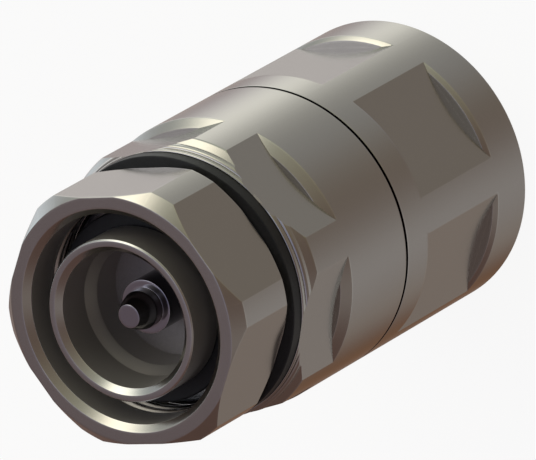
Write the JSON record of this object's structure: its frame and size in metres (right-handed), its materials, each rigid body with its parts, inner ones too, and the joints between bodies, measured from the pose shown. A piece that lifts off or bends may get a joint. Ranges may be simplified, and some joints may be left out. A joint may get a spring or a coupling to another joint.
{
  "type": "din coaxial plug",
  "caption": "Screw-on coaxial plug: hexagon coupling nut round a contact sleeve and pin, on a two-part clamping body for corrugated cable.",
  "frame": {"origin": "centre of the rear face, which the plug stands on", "axes": "+Z along the plug's axis, towards the mating end; +X square to a flat of the coupling nut"},
  "size_m": [0.038, 0.038, 0.0656],
  "materials": {
    "plated_nut": "grey plated, satin",
    "plated_body": "grey plated, satin",
    "plated_contact": "grey plated, turned",
    "polished_pin": "plated and polished",
    "bare_brass": "turned",
    "spring_steel": "drawn wire",
    "grey_plastic": "turned, smooth",
    "white_plastic": "turned",
    "black_plastic": "moulded",
    "black_rubber": "moulded, matt"
  },
  "bodies": {
    "rear_shell": {"rear_nut": "plated_body", "slip_washer": "black_plastic"},
    "clamp_set": {"thrust_washer": "bare_brass", "jacket_seal": "black_rubber", "clamp_collet": "bare_brass", "garter_spring": "spring_steel"},
    "front_shell": {"front_body": "plated_body", "outer_contact": "plated_contact", "contact_o_ring": "black_rubber", "centre_pin": "polished_pin", "front_insulator": "grey_plastic", "interface_gasket": "black_rubber", "nut_seal_ring": "black_rubber", "snap_ring": "spring_steel", "shell_o_ring": "black_rubber", "spacer_sleeve": "plated_contact", "rear_insulator": "white_plastic", "retaining_ring": "plated_contact", "inner_contact": "polished_pin", "flare_ring": "plated_contact"},
    "nut": {"coupling_nut": "plated_nut"}
  },
  "joints": [
    {"name": "rear_nut_unscrew", "type": "hinge", "parent": "rear_shell", "child": "clamp_set", "pos_m": [0, 0, 0], "axis": [0, 0, 1], "range_deg": [0, 2160]},
    {"name": "shells_part", "type": "slide", "parent": "clamp_set", "child": "front_shell", "axis": [0, 0, 1], "range_m": [0, 0.009]},
    {"name": "coupling_nut_spin", "type": "hinge", "parent": "front_shell", "child": "nut", "pos_m": [0, 0, 0.0655], "axis": [0, 0, 1], "continuous": true}
  ],
  "couplings": [
    {"joint": "shells_part", "follows": "rear_nut_unscrew", "m_per_rad": 0.00023873}
  ]
}
